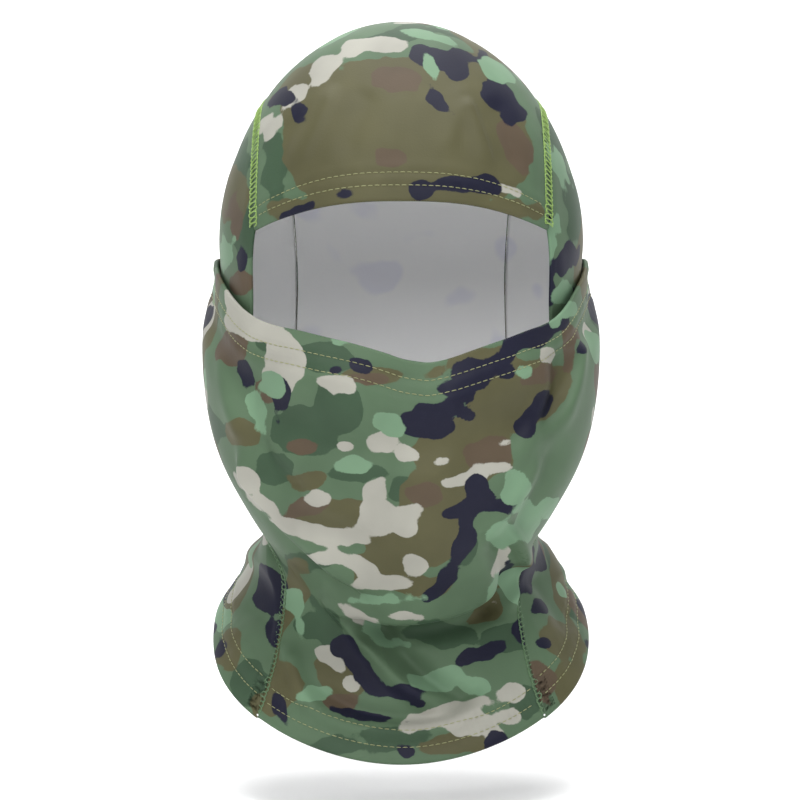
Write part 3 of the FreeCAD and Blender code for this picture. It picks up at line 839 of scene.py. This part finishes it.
front_spots = {
    "forest": [
        (-38, -160, 16, 7, -8), (-62, -152, 7, 9, 0), (-46, -196, 16, 12, -20), (-30, -184, 12, 14, 0),
        (-60, -214, 10, 8, 0), (-46, -258, 12, 4, 0), (28, -252, 8, 9, 0), (-36, -290, 10, 8, -40),
        (20, -294, 12, 6, -20), (-4, -344, 20, 5, 0), (50, -292, 8, 9, 0), (2, -224, 9, 6, 0),
        (-88, -196, 5, 6, 0),
        (-20, -216, 12, 5, 0), (60, -326, 8, 8, 0), (-24, -348, 16, 4, 0),
    ],
    "olive": [
        (-10, -169, 18, 4.5, 0), (56, -178, 26, 17, 18), (30, -204, 24, 17, 0), (16, -236, 18, 24, 0),
        (-32, -238, 22, 10, 0), (-46, -219, 9, 5, 0), (40, -160, 16, 4.5, 14), (-2, -252, 16, 14, 0),
        (-76, -196, 8, 7, 0), (-12, -262, 12, 9, 0), (-52, -262, 8, 5, 30), (-30, -314, 14, 9, -20),
        (-60, -318, 12, 14, 0), (64, -292, 7, 14, 0), (26, -346, 20, 5, 8), (10, -270, 14, 6, 0),
    ],
    "brown": [
        (-82, -156, 9, 8, 0), (-64, -176, 5, 8, 0), (-16, -171, 12, 3, 0), (42, -206, 13, 8, 20),
        (-47, -233, 12, 4.5, 20), (12, -226, 9, 6, 0), (34, -232, 6, 4, 0), (66, -168, 9, 5, 20),
        (-28, -326, 9, 4, 0), (-46, -204, 7, 4, 0), (80, -152, 4, 12, 0),
    ],
    "tan": [
        (-85, -128, 8, 9, 0), (-72, -143, 15, 8, -20), (-56, -162, 11, 13, 0), (-28, -173, 9, 4, -10),
        (-26, -202, 3.4, 1.8, 0), (-9, -201, 7.5, 6, 0), (1.5, -206, 5, 3.2, -20), (-39, -227, 5.5, 3.6, 0),
        (-12, -223, 6.5, 6, 30), (-11, -233, 7, 5, 0), (-12, -240, 9.5, 6, 0), (4, -234, 7, 4.5, 0),
        (1.5, -241, 5.5, 5, 0),
        (-28, -246, 16, 4.2, -6), (-47, -241, 14, 3.6, -12), (-65, -231, 10, 3.6, -35),
        (-73, -219, 7, 5, -50),
        (-18, -261, 8, 4.6, -20), (-8, -268, 12, 4, 0), (7, -261, 5.5, 4.6, 0), (-35, -256, 8, 2.8, 0),
        (21, -210, 4.6, 3, 0), (42, -213, 7.5, 3.2, 0), (28, -219, 8.5, 2.7, 18), (36, -216, 5, 3, 0),
        (50, -201, 4.8, 2.2, 0), (57, -204, 1.6, 1.6, 0), (48, -257, 3, 11, -14), (-18, -287, 11, 3.2, -35),
        (1.5, -284, 7, 1.8, 0), (-33, -306, 12, 4.6, -42), (-24, -317, 5, 4, 0), (21, -332, 20, 5, 14),
        (36, -337, 12, 5, 8), (54, -322, 6.5, 4.6, 0), (45, -341, 5, 4, 0), (52, -334, 5, 4, 0),
        (70, -160, 4, 3, 30),
    ],
    "navy": [
        (-74, -168, 4, 7, 0), (-58, -179, 3.6, 8.6, 0), (-32, -166, 3.6, 2.4, 0), (-19, -164, 5.4, 3.6, -20),
        (12, -186, 6, 4.6, 0), (30, -174, 12, 4.2, 14), (44, -163, 9, 4.6, 30), (60, -152, 17, 4.2, 26),
        (76, -144, 7, 3.2, 30), (50, -168, 5, 3.2, 20), (33, -167, 9, 5, 10), (7, -192, 7.5, 7, 0),
        (14, -195, 8, 5.5, 0),
        (22, -185, 9.5, 5.2, 35), (17, -190, 9, 7, 0), (29, -187, 5, 2.8, 0), (32, -179, 4, 3, 0),
        (64, -187, 8, 4.4, 46), (60, -194, 5, 5, 0), (69, -181, 4, 4, 0), (87, -156, 4, 3, 0),
        (90, -148, 3, 5, 0),
        (36, -222, 5.4, 6, 0), (32, -232, 11, 4.6, 10), (48, -232, 11, 3, 6), (38, -228, 7, 5, 0),
        (31, -243, 4.6, 9, -8), (28, -253, 4.4, 9, -14), (22, -264, 4, 9, -28), (15, -274, 6, 2.6, 30),
        (-27, -299, 7.4, 6, -35), (-16, -315, 11, 5, -40), (-22, -308, 7, 5.5, -30),
        (-1, -322, 13, 3.6, 0), (9, -327, 5, 2.4, 0),
        (4, -301, 3.4, 2.2, 0), (36, -289, 2.2, 1.2, 0), (38, -304, 9, 4, 0), (32, -303, 5, 5, 0),
        (47, -300, 5, 3.4, 30),
        (50, -267, 3.4, 8.6, -12), (-18, -333, 13, 2.2, -6), (3, -350, 4.4, 3.4, 0), (46, -345, 5, 6, -30),
        (-58, -290, 4, 9, 30), (-57, -330, 3, 8, 20),
    ],
    "mint": [
        (-68, -186, 5, 9, 10), (-62, -172, 5, 7, 0), (73, -144, 2.6, 2.4, 0), (90, -137, 5, 7, 0),
        (60, -166, 6, 3, 20),
        (60, -238, 6, 10, -10), (54, -222, 8, 7, 0), (48, -244, 7, 8, 0), (-6, -192, 9, 5, -25),
        (-22, -212, 8, 3.6, 0),
        (46, -276, 6, 12, -12), (-4, -296, 14, 6, -20), (18, -316, 13, 6, 0), (-6, -276, 16, 3.6, 0),
        (70, -232, 6, 5, 0),
        (-40, -322, 10, 3.4, 20), (34, -318, 8, 5, 0), (-50, -286, 4, 12, 10), (82, -138, 6, 4, 0),
        (-20, -152, 9, 2.4, 0),
    ],
}
front_hemmed = hemmed(
    hemmed(front, mask_hem_depth, front_pitch)[:, ::-1], bottom_hem_depth, front_pitch
)[:, ::-1]
front_cloth = cloth("front_cloth", front_hemmed, printed(front_hemmed, front_spots, -58, -34))
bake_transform(front_cloth)
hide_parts("front_panel", "front_bottom_hem", "mask_panel", "mask_top_hem")

# ---- hem stitches ----------------------------------------------------------------------------------------
# Two rows of lockstitch in pale olive polyester thread hold each hem. Each stitch is a short run of thread
# that dips into the cloth at both ends, where it meets the bobbin thread.

stitch_length = 2.5
stitch_pitch = 3.1
thread_radius = 0.2


def spun_thread(name, code):
    """Twisted polyester sewing thread: one colour with a soft sheen."""
    made, tree, shader = material(name)
    shader.inputs["Base Color"].default_value = srgb(code)
    shader.inputs["Roughness"].default_value = 0.48
    shader.inputs["IOR"].default_value = 1.5
    shader.inputs["Sheen Weight"].default_value = 0.1
    return made


hem_thread = spun_thread("pale_olive_polyester_thread", "84865A")
seam_thread = spun_thread("leaf_green_polyester_thread", "7C9A4B")
shade_thread = spun_thread("forest_green_polyester_thread", "4E6B48")


def line_on(grid, spot, spacing):
    """The line across a grid at a distance from its first row: its points and its normals."""
    row = int(spot / spacing)
    share = spot / spacing - row
    normal = normals(grid)
    line = grid[:, row] * (1 - share) + grid[:, row + 1] * share
    up = normal[:, row] * (1 - share) + normal[:, row + 1] * share
    return line, up


def at_lengths(line, up, lengths):
    """Points and normals at lengths along a line."""
    run = np.concatenate([[0], np.cumsum(np.linalg.norm(np.diff(line, axis=0), axis=1))])
    return (
        np.stack([np.interp(lengths, run, line[:, i]) for i in range(3)], axis=-1),
        np.stack([np.interp(lengths, run, up[:, i]) for i in range(3)], axis=-1),
        run[-1],
    )


def tube(centres, ups, radii, sides=6):
    """Rings round a line of centres: the corners and faces of a closed round tube."""
    ways = np.gradient(centres, axis=0)
    ways /= np.linalg.norm(ways, axis=1, keepdims=True)
    cross = np.cross(ways, ups)
    cross /= np.linalg.norm(cross, axis=1, keepdims=True)
    square = np.cross(cross, ways)
    corners = []
    for centre, a, b, radius in zip(centres, cross, square, radii):
        for i in range(sides):
            turn = 2 * math.pi * i / sides
            corners.append(centre + radius * (a * math.cos(turn) + b * math.sin(turn)))
    faces = []
    for ring in range(len(centres) - 1):
        for i in range(sides):
            j = (i + 1) % sides
            faces.append((ring * sides + i, ring * sides + j, (ring + 1) * sides + j, (ring + 1) * sides + i))
    faces.append(tuple(range(sides))[::-1])
    faces.append(tuple((len(centres) - 1) * sides + i for i in range(sides)))
    return corners, faces


def threads(name, tubes, finish):
    """One object of many thread tubes."""
    corners, faces = [], []
    for tube_corners, tube_faces in tubes:
        start = len(corners)
        corners += [tuple(c / 1000) for c in tube_corners]
        faces += [tuple(start + i for i in face) for face in tube_faces]
    mesh = bpy.data.meshes.new(name)
    mesh.from_pydata(corners, [], faces)
    mesh.shade_smooth()
    mesh.materials.append(finish)
    made = bpy.data.objects.new(name, mesh)
    bpy.context.collection.objects.link(made)
    return made


def stitch_row(grid, spot, spacing, margin=2.0):
    """Tubes for one row of stitches at a distance from a grid's first row."""
    line, up = line_on(grid, spot, spacing)
    total = at_lengths(line, up, [0.0])[2]
    shape = np.linspace(0, 1, 6)
    found = []
    for start in np.arange(margin, total - margin - stitch_length, stitch_pitch):
        place, normal, _ = at_lengths(line, up, start + stitch_length * shape)
        lift = cloth_thickness / 2 - 0.12 + 0.3 * np.sin(math.pi * shape)
        radii = thread_radius * np.sqrt(np.clip(1 - (2 * shape - 1) ** 4, 0.12, 1))
        found.append(tube(place + normal * lift[:, None], normal, radii))
    return found


brow_tubes = [t for share in row_shares for t in stitch_row(crown, share * brow_hem_depth, pitch, 4.0)]
brow_stitches = threads("brow_stitches", brow_tubes, hem_thread)
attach(brow_stitches, "hood")
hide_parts("brow_hem_stitches")

bottom_tubes = []
for share in row_shares:
    spot = share * bottom_hem_depth
    bottom_tubes += stitch_row(crown[:, ::-1], spot, pitch, 4.0)
    bottom_tubes += stitch_row(sides["left"][:, ::-1], spot, pitch, 3.0)
    bottom_tubes += stitch_row(sides["right"][:, ::-1], spot, pitch, 3.0)
    bottom_tubes += stitch_row(front[:, ::-1], spot, front_pitch, 3.0)
bottom_stitches = threads("bottom_stitches", bottom_tubes, hem_thread)
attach(bottom_stitches, "hood")
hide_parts("bottom_hem_stitches")

flap_tubes = [t for share in row_shares for t in stitch_row(front, share * mask_hem_depth, front_pitch, 3.0)]
flap_stitches = threads("flap_stitches", flap_tubes, hem_thread)
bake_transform(flap_stitches)
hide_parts("mask_hem_stitches")

# ---- crown seams -----------------------------------------------------------------------------------------
# Flatlock seams in leaf green thread: two needle threads run along the edges, and the cover thread loops
# back and forth between them and crosses itself, which makes a ladder about 5 mm wide.

seam_half_width = 2.8
seam_pitch = 2.5
seam_thread_radius = 0.27


def seam_line(grid, side):
    """A grid's edge line, its outward normals, and the unit way across it, away from the grid."""
    normal = normals(grid)
    index = 0 if side < 0 else -1
    line, up = grid[index], normal[index]
    inner = grid[2 if side < 0 else -3]
    away = line - inner
    away /= np.linalg.norm(away, axis=1, keepdims=True)
    return line, up, away


def flatlock(line, up, away, half_width, phase, lift):
    """Tubes of one flatlock seam along a line: two zigzags that cross, and two edge threads."""
    total = at_lengths(line, up, [0.0])[2]
    found = []
    steps = np.arange(1.0, total - 1.0, seam_pitch / 8)
    place, normal, _ = at_lengths(line, up, steps)
    _, across, _ = at_lengths(line, away, steps)
    for strand in (0, 1):
        swing = np.sin(2 * math.pi * (steps / seam_pitch / 2 + 0.5 * strand) + phase)
        swing = np.sign(swing) * np.abs(swing) ** 0.6
        wander = 0.15 * np.sin(steps * 1.7 + strand)
        height = (
            cloth_thickness / 2 + lift
            + 0.16 * np.cos(2 * math.pi * steps / seam_pitch + math.pi * strand)
        )
        centres = place + across * ((swing * half_width + wander)[:, None]) + normal * height[:, None]
        found.append(tube(centres, normal, np.full(len(steps), seam_thread_radius), 5))
    for edge in (-1, 1):
        wave = 0.22 * np.sin(2 * math.pi * steps / seam_pitch + edge)
        height = cloth_thickness / 2 + lift - 0.02 + 0.1 * np.cos(2 * math.pi * steps / seam_pitch)
        centres = place + across * ((edge * half_width * 0.93 + wave)[:, None]) + normal * height[:, None]
        found.append(tube(centres, normal, np.full(len(steps), seam_thread_radius * 0.85), 5))
    return found


for name, side in (("left", 1), ("right", -1)):
    line, up, away = seam_line(crown, side)
    seam = threads(
        name + "_crown_flatlock", flatlock(line, up, away, seam_half_width, side, 0.15), seam_thread
    )
    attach(seam, "hood")
    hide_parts(name + "_crown_seam")

# ---- side seams ------------------------------------------------------------------------------------------
# The seams between the front cloth and the side panels, sewn the same way but narrower and in a thread
# nearer the print's dark green. They run from the bar tacks down round the jaw to the bib's hem.

for name, side in (("left", 1), ("right", -1)):
    line, up, away = seam_line(front, side)
    seam = threads(
        name + "_side_flatlock", flatlock(line[2:], up[2:], away[2:], 1.6, side, 0.1), shade_thread
    )
    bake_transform(seam)
    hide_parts(name + "_side_seam")

# ---- bar tacks -------------------------------------------------------------------------------------------
# A dense round of satin stitches at each ear, which fastens the flap's corner to the side panel.

tack_radius = 4.0
for name, side in (("left", 1), ("right", -1)):
    low_corner, high_corner = (Vector(corner) * 1000 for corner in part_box(name + "_bar_tack"))
    centre = (low_corner + high_corner) / 2
    outer = high_corner.x if side > 0 else low_corner.x
    tubes = []
    for offset in np.arange(-tack_radius + 0.3, tack_radius, 0.42):
        reach = math.sqrt(tack_radius ** 2 - offset ** 2)
        spots = np.linspace(-1, 1, 7)
        bulge = 0.5 * (1 - spots ** 2) - 0.6
        centres = np.stack([
            np.full(7, outer) + side * bulge,
            centre.y + offset + 0 * spots,
            centre.z + spots * reach,
        ], axis=-1)
        tubes.append(tube(centres, np.tile((side, 0.0, 0.0), (7, 1)), np.full(7, 0.27), 6))
    tack = threads(name + "_tack_stitches", tubes, shade_thread)
    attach(tack, "hood")
    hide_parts(name + "_bar_tack")
